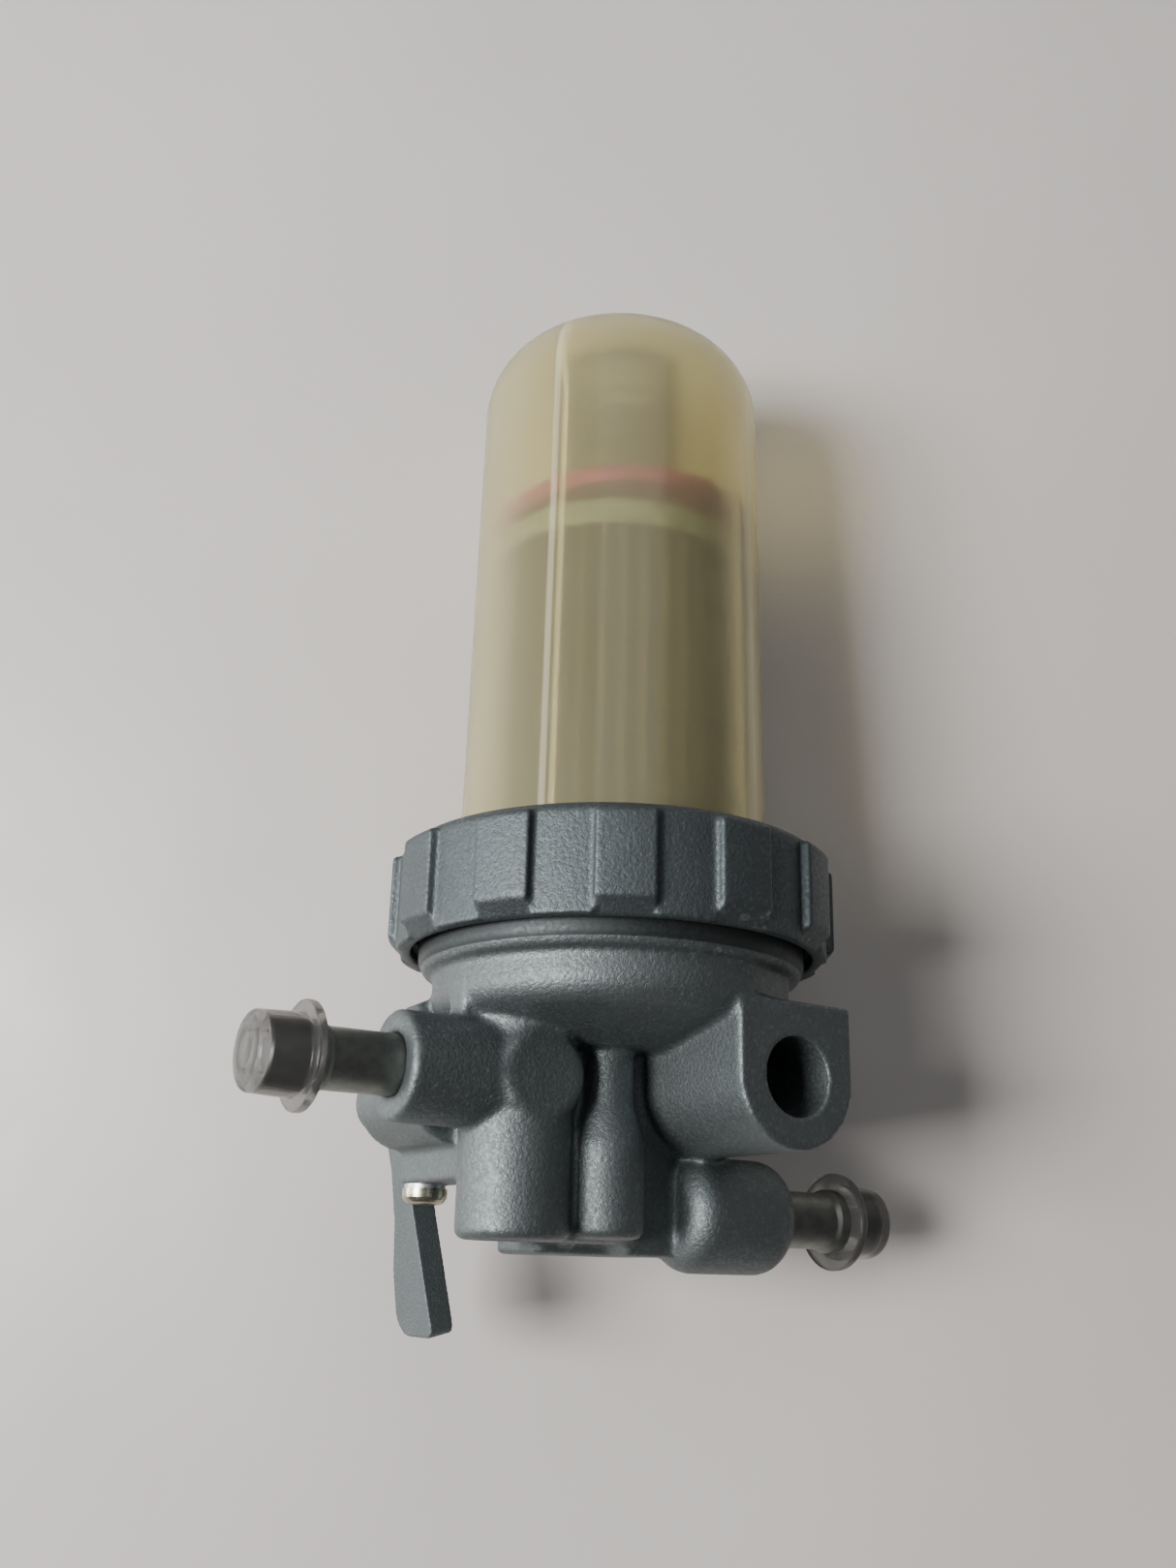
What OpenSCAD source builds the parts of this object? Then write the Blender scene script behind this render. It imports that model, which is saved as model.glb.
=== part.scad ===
// Fuel filter with a see-through bowl and a shut-off cock, hung by one bolt through its head.
// Millimetres. +Z is up in use: the head is on top and the bowl hangs below it.
// X runs along the two hose nipples and Y along the mounting bore.
// The origin is the centre of the mounting bore on the front face of its boss.

/* [Mounting boss] */
// Radius of the mounting bore, for an M10 bolt
mount_bore_r = 5.1; // [5.1:0.1:5.5]
// Outer radius of the mounting boss
mount_boss_r = 9.1; // [8.8:0.1:9.4]
// Length of the mounting boss along its bore
mount_boss_len = 48; // [46:1:50]
// Distance from the bore to the side of the boss that faces the bowl
mount_boss_flat = 9.7; // [9.5:0.1:10]
// Distance along X from the filter's axis to the bore
mount_x = 12.8; // [12.6:0.1:13.4]
// Distance along Y from the filter's axis to the boss's front face
mount_y = 24; // [23:0.5:26]
// Height of the bore above the ring nut's upper rim
mount_z = 16.6; // [16.4:0.1:16.8]

/* [Ring nut] */
// Outer radius of the ring nut between its grip lugs
ring_r = 29.5; // [29:0.1:30]
// Height of the ring nut
ring_h = 14.3; // [14:0.1:15]
// Height of a grip lug above the ring's surface
lug_rise = 1.2; // [0.8:0.1:1.6]
// Number of grip lugs
lug_count = 12; // [8:1:14]
// Angle that one grip lug covers
lug_angle = 14.5; // [10:0.5:16]
// Radius of the ring nut's inner thread
ring_thread_r = 26.75; // [26.7:0.05:27]
// Radius of the ring nut's mouth above its thread
ring_mouth_r = 27.5; // [27.3:0.1:28]

/* [Bowl] */
// Outer radius of the bowl just below the ring nut
bowl_r = 21.6; // [21:0.1:22]
// Outer radius of the bowl where its rounded end starts
bowl_low_r = 20.9; // [20:0.1:21]
// Depth of the bowl's tip below the ring nut's upper rim
bowl_depth = 97; // [90:1:110]
// Wall thickness of the bowl
bowl_wall = 1.8; // [1.5:0.1:2]
// Radius of the rounding at the bowl's end
bowl_round = 12; // [8:0.5:14]

/* [Head casting] */
// Radius of the threaded collar
collar_r = 26.4; // [26:0.1:26.5]
// Radius of the dome above the collar
dome_r = 24.3; // [23:0.1:25]
// Radius of the hose bosses and the upright valve boss
boss_r = 7; // [6.5:0.1:7.4]
// X of the upright valve boss
valve_x = -14.3; // [-15:0.1:-14]
// Height of the upright valve boss's top
valve_top = 37; // [34:0.5:38]
// Height of the inlet hose line
inlet_z = 16.9; // [16:0.1:18]
// X of the inlet boss's end face
inlet_face_x = -32.3; // [-34:0.1:-31]
// Height of the outlet hose line
outlet_z = 32.8; // [31:0.1:33]
// X of the outlet boss's end face
outlet_face_x = 26.4; // [25:0.1:28]

/* [Shut-off cock] */
// X of the cock's turning axis
cock_x = -20.2; // [-20.5:0.1:-19.5]
// Height of the cock's turning axis
cock_z = 18.6; // [18:0.1:19]
// Y of the cock barrel's rear face
cock_face_y = -21.5; // [-22:0.1:-21]
// Radius of the cock rotor's bore
cock_bore_r = 5; // [4.8:0.1:5.2]
// Lean of the lever from upright, towards the filter's axis
lever_lean = 13.7; // [8:0.1:16]
// Reach of the lever from the cock's axis to its tip
lever_reach = 31.8; // [28:0.1:34]

/* [Filter element] */
// Radius of the element's end caps
cap_r = 17.9; // [17:0.1:18]
// Depth of the element's lower end below the ring nut's upper rim
element_low = 62.6; // [58:0.2:64]
// Number of pleats in the paper
pleat_count = 36; // [24:1:48]
// Number of turns of the spring under the element
spring_turns = 12; // [6:1:14]

/* [Hose nipples] */
// Radius of the nipple's stem
stem_r = 3.85; // [3.7:0.05:3.9]
// Radius of the nipple's bead, over which the hose is pushed
bead_r = 4.35; // [4.25:0.05:4.4]
// Length of the nipple beyond its boss
nipple_len = 17; // [15:0.5:18]

/* [Hidden] */

$fn = 96;
eps = 0.01;

// Running clearance of the cock rotor, the caps and the element's grommet
running = 0.05;
// Passage radii inside the head
passage_r = 2.6;
small_passage_r = 2.2;
column_passage_r = 1.8;

// Collar and chamber heights, measured from the ring nut's upper rim
collar_low = -8.4;
collar_top = 2.3;
recess_r = 24.4;
recess_top = -5;
// The thick ring in the middle of the dome that holds the standpipe
hub_ring_r = 9;
spigot_low = -2;

// Bowl flange, whose upper face seals against the collar
flange_r = 25.4;
flange_low = -11.9;
flange_top = -8.8;
lip_h = 2.3;

// Valve boss and inlet line share this Y
hose_y = 0.4;
outlet_y = 1.5;
column_x = -2.3;
column_y = 3;
// The drilling up the column
drilling_x = 0.5;
drilling_y = -1.5;
spigot_r = 5.5;

// Depth to which a nipple is pressed into its boss
nipple_seat = 8;

// Cock barrel, rotor groove and retaining screw
barrel_r = 6.75;
cock_bore_front = -8;
rotor_r = cock_bore_r - running;
groove_y = -18.8;
groove_w = 3.4;
screw_x = -17.1;
pad_top_z = 29.7;
screw_r = 1.5;

// Y of the flat rear face that the lever's hub faces
lever_front_y = cock_face_y - 0.4;
hub_len = 5.2;
hub_r = 4.4;
stub_r = 3;

// Moves the filter-axis frame to the mounting bore's frame
module in_frame() {
    translate([-mount_x, -mount_y, -mount_z]) children();
}

// A round bar along +X, +Y, -X or -Y from the origin
module bar_x(r, len) {
    rotate([0, 90, 0]) cylinder(r = r, h = len);
}

module bar_y(r, len) {
    rotate([-90, 0, 0]) cylinder(r = r, h = len);
}

// Points of an arc about (cx, cy)
function arc(cx, cy, r, a0, a1, n = 8) = [
    for (i = [0 : n]) [cx + r * cos(a0 + (a1 - a0) * i / n), cy + r * sin(a0 + (a1 - a0) * i / n)]
];

// ---- Head ----

// Dome and the spigot under it, turned about the filter's axis
module dome_turned() {
    top = 12.5;
    round_r = 3.6;
    rotate_extrude() polygon(concat(
        [[0, spigot_low], [hub_ring_r, spigot_low], [hub_ring_r, collar_top], [dome_r, collar_top]],
        arc(dome_r - round_r, 5.9, round_r, 0, 72),
        [[hub_ring_r, top], [0, top]]
    ));
}

// Threaded collar below the dome
module collar_turned() {
    inside = 12;
    rotate_extrude() polygon([
        [inside, collar_low], [collar_r - 0.6, collar_low], [collar_r, collar_low + 0.6], [collar_r, 1.2],
        [collar_r - 0.9, collar_top], [inside, collar_top]
    ]);
}

// Space for fuel above the element, round the spigot that holds the standpipe
module chamber() {
    hub = hub_ring_r - 0.5;
    rotate_extrude() polygon([
        [hub, spigot_low], [hub, 5.5], [12, 6.5], [19, 4.5], [21.3, 1.5], [21.3, recess_top],
        [recess_r, recess_top], [recess_r, collar_low - 1], [0, collar_low - 1], [0, spigot_low]
    ]);
}

// Column that takes the clean fuel up from the standpipe
module column() {
    neck_r = 3.6;
    shaft_r = 5.2;
    round_r = 1.4;
    top = valve_top - 0.5;
    translate([column_x, column_y, 0]) rotate_extrude() polygon(concat(
        [[0, 8], [neck_r, 8], [neck_r, 19.5], [shaft_r, 25]],
        arc(shaft_r - round_r, top - round_r, round_r, 0, 90),
        [[0, top]]
    ));
}

module valve_boss() {
    translate([valve_x, hose_y, 0]) {
        translate([0, 0, 6]) cylinder(r = boss_r + 0.2, h = valve_top - 6 - 0.8);
        translate([0, 0, valve_top - 0.8]) cylinder(r1 = boss_r + 0.2, r2 = boss_r - 0.6, h = 0.8);
        translate([0, 0, inlet_z]) {
            bar_y(boss_r + 0.3, 4);
            translate([0, 4, 0]) rotate([-90, 0, 0]) cylinder(r1 = boss_r + 0.3, r2 = 5.6, h = 3.2);
        }
    }
}

module inlet_boss() {
    translate([inlet_face_x, hose_y, inlet_z]) rotate([0, 90, 0]) {
        translate([0, 0, 0.5]) cylinder(r = boss_r - 0.1, h = valve_x - inlet_face_x);
        cylinder(r1 = boss_r - 0.6, r2 = boss_r - 0.1, h = 0.5);
    }
    // Gusset between the dome and the inlet boss
    translate([-24, -1, 6]) cube([4.5, 4, 6]);
}

module outlet_boss() {
    start = 9;
    len = outlet_face_x - start;
    round_r = 3.6;
    translate([start, outlet_y, outlet_z]) rotate([0, 90, 0]) rotate_extrude() polygon(concat(
        [[0, 0]],
        arc(7.6 - round_r, round_r, round_r, -90, 0),
        arc(7.6 - round_r, len - round_r, round_r, 0, 90),
        [[0, len]]
    ));
}

// Cross bar that carries the outlet passage behind the column
module cross_bar() {
    corner = 4;
    bar_left = -8.7;
    bar_right = 12;
    bar_rear = -16;
    translate([0, 0, 25]) linear_extrude(valve_top + 1.4 - 25) polygon(concat(
        [[2, -2.5], [bar_left + 1, -2.5], [bar_left, -3.5]],
        arc(bar_left + corner, bar_rear + corner, corner, 180, 270),
        arc(bar_right - corner, bar_rear + corner, corner, 270, 360),
        [[bar_right, 2.2], [2, 2.2]]
    ));
}

module mount_boss() {
    translate([mount_x, mount_y, mount_z]) rotate([90, 0, 0]) {
        cylinder(r = mount_boss_r, h = mount_boss_len);
        translate([-mount_boss_r, -mount_boss_flat, 0])
            cube([2 * mount_boss_r, mount_boss_flat, mount_boss_len]);
    }
    // Web round the column that ties the valve boss, the dome and the cross bar together
    translate([-12, -6.5, 6]) cube([21, 9.3, 31]);
}

module cock_barrel() {
    translate([cock_x, cock_face_y, cock_z]) bar_y(barrel_r, 17);
    // Pad for the retaining screw, run on to the valve boss
    translate([-20, cock_face_y + 0.5, cock_z]) cube([6.5, 20, pad_top_z - cock_z]);
    // Web from the barrel up to the dome's edge
    translate([-25, -15.5, 0]) rotate([90, 0, 0]) mirror([0, 0, 1]) linear_extrude(5)
        polygon([[0, 16], [1.2, 7], [5.5, 5], [12, 5], [12, 16]]);
}

module head_passages() {
    // Inlet line, its nipple seat and the upright drilling above it
    translate([inlet_face_x - 1, hose_y, inlet_z]) bar_x(stem_r, nipple_seat + 1);
    translate([inlet_face_x, hose_y, inlet_z]) bar_x(passage_r, valve_x - inlet_face_x);
    translate([valve_x, hose_y, inlet_z]) cylinder(r = passage_r, h = valve_top - inlet_z + 1);
    translate([valve_x, hose_y, valve_top - 3]) cylinder(r = 4, h = 4);
    // From the inlet line back to the cock, then down to the chamber
    translate([-17.5, cock_bore_front - 0.5, 17.5]) bar_y(1.7, hose_y - cock_bore_front + 0.5);
    translate([cock_x, cock_face_y - 1, cock_z]) bar_y(cock_bore_r, cock_bore_front - cock_face_y + 1);
    translate([cock_x, -12, cock_z]) rotate([0, 180 - 18, 0]) cylinder(r = small_passage_r, h = 17.5);
    // Outlet line, its nipple seat and the column's drilling
    translate([0, 0, -3]) cylinder(r = spigot_r, h = 7);
    translate([drilling_x, drilling_y, -3]) cylinder(r = column_passage_r, h = outlet_z + 3);
    translate([drilling_x, drilling_y, outlet_z]) bar_x(column_passage_r, 18);
    translate([outlet_face_x - 10, outlet_y, outlet_z]) bar_x(passage_r, 10);
    translate([outlet_face_x - nipple_seat, outlet_y, outlet_z]) bar_x(stem_r, nipple_seat + 1);
    // Retaining screw's threaded hole
    translate([screw_x, groove_y, cock_z]) cylinder(r = screw_r, h = 14);
}

module head() {
    color([0.55, 0.60, 0.62]) in_frame() difference() {
        union() {
            dome_turned();
            column();
            valve_boss();
            inlet_boss();
            outlet_boss();
            cross_bar();
            mount_boss();
            cock_barrel();
        }
        chamber();
        head_passages();
        translate([mount_x, mount_y + 1, mount_z]) rotate([90, 0, 0])
            cylinder(r = mount_bore_r, h = mount_boss_len + 2);
    }
}

// The head's threaded collar, in a node of its own that meets the dome face to face
module head_collar() {
    color([0.55, 0.60, 0.62]) in_frame() difference() {
        collar_turned();
        chamber();
        head_passages();
    }
}

// Tube that carries clean fuel from inside the element up to the column
module standpipe() {
    color([0.60, 0.62, 0.63]) in_frame() translate([0, 0, -14]) difference() {
        cylinder(r = spigot_r, h = 18);
        translate([0, 0, -1]) cylinder(r = spigot_r - 1.5, h = 20);
    }
}

// Cup plug pressed into the top of the upright drilling
module passage_plug() {
    color([0.50, 0.52, 0.53]) in_frame() translate([valve_x, hose_y, valve_top - 3]) difference() {
        cylinder(r = 4, h = 2.6);
        translate([0, 0, 1]) cylinder(r = 3.1, h = 3);
    }
}

// ---- Hose nipples and their shipping caps, turned about +Z from the boss face ----

module nipple_shape() {
    seat = nipple_seat;
    difference() {
        rotate_extrude() polygon([
            [0, -seat], [stem_r - 0.3, -seat], [stem_r, -seat + 0.5], [stem_r, 9.1], [bead_r, 9.6],
            [bead_r, 11.4], [stem_r + 0.05, nipple_len - 0.6], [stem_r - 0.4, nipple_len], [0, nipple_len]
        ]);
        translate([0, 0, -seat - 1]) cylinder(r = passage_r, h = nipple_len + seat + 2);
    }
}

module cap_shape() {
    mouth = 11;
    end = nipple_len + 1.6;
    difference() {
        rotate_extrude() polygon(concat(
            [[0, mouth], [6.6, mouth], [6.75, mouth + 0.2], [6.75, mouth + 1.1], [6.55, mouth + 1.3],
             [5.1, mouth + 1.3]],
            arc(3.8, end - 1, 1, 10, 90),
            [[3.0, end], [2.8, end - 0.4], [2.4, end - 0.4], [2.2, end], [0, end]]
        ));
        translate([0, 0, mouth - 1]) cylinder(r = bead_r + running / 2, h = end - mouth - 0.2);
    }
}

module on_inlet() {
    translate([inlet_face_x, hose_y, inlet_z]) rotate([0, -90, 0]) children();
}

module on_outlet() {
    translate([outlet_face_x, outlet_y, outlet_z]) rotate([0, 90, 0]) children();
}

module inlet_nipple() {
    color([0.33, 0.34, 0.33]) in_frame() on_inlet() nipple_shape();
}

module outlet_nipple() {
    color([0.33, 0.34, 0.33]) in_frame() on_outlet() nipple_shape();
}

module inlet_cap() {
    color([0.85, 0.86, 0.86, 0.5]) in_frame() on_inlet() cap_shape();
}

module outlet_cap() {
    color([0.85, 0.86, 0.86, 0.5]) in_frame() on_outlet() cap_shape();
}

// ---- Shut-off cock ----

// Grooves for the two O-rings, Y of their centres
oring_y = [-9.7, -15.2];
oring_r = 0.75;

module cock_rotor() {
    len = cock_bore_front - cock_face_y - 0.5;
    color([0.72, 0.60, 0.35]) in_frame() difference() {
        union() {
            translate([cock_x, cock_face_y, cock_z]) bar_y(rotor_r, len);
            translate([cock_x, lever_front_y - hub_len + 0.3, cock_z]) bar_y(stub_r, hub_len + 1);
        }
        // Groove for the retaining screw's tip
        translate([cock_x, groove_y, cock_z]) rotate([90, 0, 0]) translate([0, 0, -groove_w / 2])
            difference() {
                cylinder(r = rotor_r + 1, h = groove_w);
                translate([0, 0, -1]) cylinder(r = 3.2, h = groove_w + 2);
            }
        for (y = oring_y)
            translate([cock_x, y, cock_z]) rotate([90, 0, 0]) translate([0, 0, -0.95]) difference() {
                cylinder(r = rotor_r + 1, h = 1.9);
                translate([0, 0, -1]) cylinder(r = rotor_r - 2 * oring_r, h = 4);
            }
        // Fuel way: in at the front end and out through one side
        translate([cock_x, -13, cock_z]) bar_y(2, 6);
        translate([cock_x, -12.6, cock_z]) rotate([0, 180 - 18, 0]) cylinder(r = 1.9, h = 6);
    }
}

module cock_orings() {
    color([0.08, 0.08, 0.08]) in_frame() for (y = oring_y)
        translate([cock_x, y, cock_z]) rotate([90, 0, 0]) rotate_extrude()
            translate([rotor_r - oring_r, 0]) circle(r = oring_r, $fn = 24);
}

// Lever blade and its hub, which is pressed on the rotor's stub
module cock_lever() {
    blade_w = 3.5;
    color([0.58, 0.62, 0.66]) in_frame() translate([cock_x, lever_front_y, cock_z]) difference() {
        union() {
            mirror([0, 1, 0]) bar_y(hub_r, hub_len);
            rotate([0, lever_lean, 0]) translate([1.3 - blade_w / 2, 0, 0]) rotate([90, 0, 90])
                linear_extrude(blade_w) polygon(concat(
                    [[-0.3, 0]],
                    arc(-1.8, lever_reach - 1.5, 1.5, 0, 90, 4),
                    arc(-7.4, lever_reach - 3.2, 3.2, 90, 180, 4),
                    [[-9.3, 22.5], [-6.6, 16], [-hub_len, 9], [-hub_len, 0]]
                ));
        }
        mirror([0, 1, 0]) translate([0, -1, 0]) bar_y(stub_r, hub_len + 0.7);
    }
}

module retaining_screw() {
    head_z = pad_top_z + 0.6;
    color([0.70, 0.68, 0.58]) in_frame() translate([screw_x, groove_y, 0]) difference() {
        union() {
            translate([0, 0, cock_z + 3.5]) cylinder(r = screw_r, h = head_z - cock_z - 3.5 + eps);
            translate([0, 0, head_z]) rotate_extrude() polygon(concat(
                [[0, 0], [3.05, 0]],
                arc(1.75, 0.8, 1.3, 0, 80, 5),
                [[0, 2.1]]
            ));
        }
        // Cross recess
        for (a = [0, 90])
            rotate([0, 0, a]) translate([-1.6, -0.3, head_z + 1]) cube([3.2, 0.6, 2]);
    }
}

module screw_lock_washer() {
    color([0.45, 0.45, 0.43]) in_frame() translate([screw_x, groove_y, pad_top_z]) difference() {
        cylinder(r = 2.8, h = 0.6);
        translate([0, 0, -1]) cylinder(r = screw_r + 0.1, h = 3);
        translate([1, -0.25, -1]) cube([3, 0.5, 3]);
    }
}

// ---- Ring nut ----

module ring_nut() {
    low = -ring_h;
    chamfer = 2.1;
    mouth_deep = 2;
    lug_r = ring_r + lug_rise;
    lug_root_r = ring_mouth_r + 0.7;
    // The inward lip that carries the bowl's flange
    lip_r = bowl_r + 0.7;
    color([0.50, 0.56, 0.60]) in_frame() difference() {
        union() {
            rotate_extrude() polygon(concat(
                [[ring_mouth_r, 0], [ring_r, 0]],
                arc(ring_r - 1.5, low + 1.5, 1.5, 0, -90),
                [[lip_r, low], [lip_r, low + lip_h], [ring_thread_r, low + lip_h],
                 [ring_thread_r, -mouth_deep], [ring_mouth_r, -mouth_deep]]
            ));
            for (i = [0 : lug_count - 1])
                rotate([0, 0, 90 - lug_angle / 2 + i * 360 / lug_count]) rotate_extrude(angle = lug_angle)
                    polygon([[lug_root_r, low + 1], [lug_r - 0.5, low + 1], [lug_r, low + 1.5], [lug_r, 0],
                             [lug_root_r, 0]]);
        }
        // Chamfer on each lug's upper end
        for (i = [0 : lug_count - 1])
            rotate([0, 0, 90 - lug_angle / 2 + i * 360 / lug_count]) rotate_extrude(angle = lug_angle)
                polygon([
                    [lug_r - chamfer, 1], [lug_r - chamfer, 0], [lug_r, -chamfer], [lug_r + 1, -chamfer],
                    [lug_r + 1, 1]
                ]);
    }
}

// ---- Bowl ----

module bowl() {
    tip = -bowl_depth;
    inner_round = bowl_round - bowl_wall;
    color([0.90, 0.86, 0.68, 0.5]) in_frame() {
        rotate_extrude() polygon(concat(
            [[0, tip]],
            arc(bowl_low_r - bowl_round, tip + bowl_round, bowl_round, -90, 0),
            [[bowl_r, flange_low], [flange_r, flange_low], [flange_r, flange_top],
             [bowl_r - bowl_wall, flange_top]],
            arc(bowl_low_r - bowl_round, tip + bowl_round, inner_round, 0, -90),
            [[0, tip + bowl_wall]]
        ));
        // Four guide ribs inside the wall
        for (a = [0 : 90 : 270])
            rotate([0, 0, 59 + a]) translate([18.5, -0.5, tip + bowl_round + 1]) cube([1.6, 1, 72]);
    }
}

// Sealing ring that lies on the bowl's flange, in the collar's recess
module bowl_oring() {
    r = 1.15;
    color([0.08, 0.08, 0.08]) in_frame() translate([0, 0, flange_top + r]) rotate_extrude()
        translate([bowl_r + r, 0]) circle(r = r, $fn = 32);
}

// Red ring that floats on water but sinks in fuel; it leans on the element's lower cap
module water_float() {
    color([0.75, 0.05, 0.12]) in_frame() translate([0, 0, -element_low - 3.9]) rotate([0, 4, 30])
        rotate_extrude() polygon([
            [11.6, -1.7], [17.6, -1.7], [18, -1.3], [18, 1.3], [17.6, 1.7], [11.6, 1.7]
        ]);
}

// ---- Filter element ----

module element_media() {
    outer = 17.2;
    valley = 15.4;
    inner = 8.6;
    color([0.55, 0.46, 0.30]) in_frame() translate([0, 0, -element_low + 1.2])
        linear_extrude(element_low - 1.2 - 4.9) difference() {
            polygon([for (i = [0 : 2 * pleat_count - 1])
                let (r = i % 2 == 0 ? outer : valley, a = i * 180 / pleat_count) [r * cos(a), r * sin(a)]]);
            circle(r = inner);
        }
}

// Tube with windows inside the paper
module element_core() {
    low = -element_low + 1.2;
    color([0.62, 0.62, 0.60]) in_frame() difference() {
        translate([0, 0, low]) cylinder(r = 8.5, h = element_low - 1.2 - 4.9);
        translate([0, 0, low - 1]) cylinder(r = 7.6, h = element_low);
        for (row = [0 : 4], a = [0, 60, 120])
            translate([0, 0, low + 7 + row * 9.8]) rotate([0, 0, a]) cube([20, 3, 5.5], center = true);
    }
}

module element_top_cap() {
    color([0.88, 0.86, 0.74]) in_frame() difference() {
        translate([0, 0, -6.5]) cylinder(r = cap_r, h = 2.6);
        translate([0, 0, -7.5]) cylinder(r = 7.5, h = 5);
        translate([0, 0, -7.5]) cylinder(r = cap_r - 0.6, h = 2.6);
    }
}

module element_bottom_cap() {
    color([0.88, 0.86, 0.74]) in_frame() difference() {
        translate([0, 0, -element_low]) cylinder(r = cap_r, h = 4);
        translate([0, 0, -element_low + 1.2]) cylinder(r = cap_r - 0.6, h = 4);
        // Shallow seat for the spring
        translate([0, 0, -element_low - eps]) difference() {
            cylinder(r = 9.6, h = 0.4);
            translate([0, 0, -1]) cylinder(r = 7.4, h = 2);
        }
    }
}

// Rubber grommet that seals the element on the standpipe
module element_grommet() {
    color([0.10, 0.10, 0.10]) in_frame() difference() {
        union() {
            translate([0, 0, -7.9]) cylinder(r = 7.4, h = 4.9);
            translate([0, 0, -3.9]) cylinder(r = 8.2, h = 0.9);
        }
        translate([0, 0, -9]) cylinder(r = spigot_r + running, h = 7);
    }
}

// A closed tube swept along the rings of points in rings
module swept(rings) {
    sides = len(rings[0]);
    last = len(rings) - 1;
    polyhedron(
        points = [for (ring = rings) for (p = ring) p],
        faces = concat(
            [[for (s = [0 : sides - 1]) s]],
            [for (k = [0 : last - 1], s = [0 : sides - 1])
                [
                    k * sides + s, (k + 1) * sides + s,
                    (k + 1) * sides + (s + 1) % sides, k * sides + (s + 1) % sides
                ]],
            [[for (s = [sides - 1 : -1 : 0]) last * sides + s]]
        )
    );
}

// Spring that presses the element up on the standpipe
module element_spring() {
    wire = 0.7;
    coil = 8.5;
    low = -bowl_depth + bowl_wall + wire;
    high = -element_low + 0.4 - wire;
    per_turn = 20;
    steps = spring_turns * per_turn;
    // Closed end turns: the rise is slow in the first and the last turn
    function rise(t) = t < 1 ? 2 * wire * t
        : t > spring_turns - 1 ? high - low - 2 * wire * (spring_turns - t)
        : 2 * wire + (high - low - 4 * wire) * (t - 1) / (spring_turns - 2);
    color([0.25, 0.26, 0.28]) in_frame() swept([
        for (i = [0 : steps])
            let (t = i / per_turn, a = 360 * t)
                [for (s = [0 : 7]) let (b = -s * 45)
                    [(coil + wire * cos(b)) * cos(a), (coil + wire * cos(b)) * sin(a),
                     low + rise(t) + wire * sin(b)]]
    ]);
}

head();
head_collar();
standpipe();
passage_plug();
inlet_nipple();
outlet_nipple();
cock_rotor();
cock_lever();
cock_orings();
retaining_screw();
screw_lock_washer();
ring_nut();
bowl();
bowl_oring();
water_float();
element_media();
element_core();
element_top_cap();
element_bottom_cap();
element_grommet();
element_spring();
inlet_cap();
outlet_cap();
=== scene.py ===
"""Looks of a fuel filter: a cast head with hose nipples and a cock, and a milky bowl held by a ring nut.

Lengths are in millimetres in the filter's own frame, whose origin is on the filter's axis at the ring
nut's upper rim, with +Z towards the head. place() turns them into the row frame's metres.
"""

from math import cos, pi, radians, sin, tan

import bmesh
import bpy
import numpy as np
from mathutils import Matrix, Vector


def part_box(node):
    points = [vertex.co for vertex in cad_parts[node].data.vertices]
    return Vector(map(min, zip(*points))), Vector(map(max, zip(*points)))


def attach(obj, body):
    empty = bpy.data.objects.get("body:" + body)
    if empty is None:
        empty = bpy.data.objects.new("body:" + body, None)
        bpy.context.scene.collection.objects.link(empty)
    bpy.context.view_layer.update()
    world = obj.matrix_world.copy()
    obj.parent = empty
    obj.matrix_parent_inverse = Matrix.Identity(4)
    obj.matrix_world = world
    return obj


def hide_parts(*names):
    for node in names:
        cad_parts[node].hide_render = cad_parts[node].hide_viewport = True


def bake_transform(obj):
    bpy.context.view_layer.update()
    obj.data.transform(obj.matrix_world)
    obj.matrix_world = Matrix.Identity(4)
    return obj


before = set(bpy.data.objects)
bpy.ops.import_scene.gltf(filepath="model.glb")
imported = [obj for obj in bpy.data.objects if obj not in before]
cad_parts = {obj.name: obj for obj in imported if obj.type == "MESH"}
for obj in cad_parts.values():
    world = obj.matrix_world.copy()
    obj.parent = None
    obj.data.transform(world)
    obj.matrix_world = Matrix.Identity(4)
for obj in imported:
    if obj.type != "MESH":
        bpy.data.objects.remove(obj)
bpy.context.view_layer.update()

MM = 0.001

# The filter's axis at the ring nut's upper rim, in the row frame
RING_LOW, RING_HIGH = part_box("ring_nut")
AXIS = Vector(((RING_LOW.x + RING_HIGH.x) / 2, (RING_LOW.y + RING_HIGH.y) / 2, RING_HIGH.z))
PLACE = Matrix.Translation(AXIS) @ Matrix.Scale(MM, 4)


def place(x, y, z):
    """A point of the filter's frame, in the row frame."""
    return PLACE @ Vector((x, y, z))


# ---------------------------------------------------------------- camera, floor and lights

# How the filter lies before the camera: its bowl points up in the picture and away by TILT, leans
# sideways by ROLL, and the filter is turned about its own axis by TURN
TILT = radians(18.67)
ROLL = radians(1.43)
TURN = radians(32.2)
# The filter's origin as the camera sees it: right, up and towards the camera
SEEN_AT = Vector((3.1, -24.8, -200.7))
LENS = 33.35
SENSOR = 36


def camera_axes():
    """The filter's X, Y and Z axes in camera axes, as a matrix's rows."""
    z = -Vector((sin(ROLL) * cos(TILT), cos(ROLL) * cos(TILT), -sin(TILT)))
    right = Vector((cos(ROLL), -sin(ROLL), 0))
    across = (right - z * right.dot(z)).normalized()
    up = z.cross(across)
    x = across * cos(TURN) - up * sin(TURN)
    y = across * sin(TURN) + up * cos(TURN)
    return Matrix((x, y, z))


TO_FILTER = camera_axes()


def seen(x, y, z):
    """A direction given as the camera's right, up and towards it, in the row frame."""
    return TO_FILTER @ Vector((x, y, z))


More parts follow.
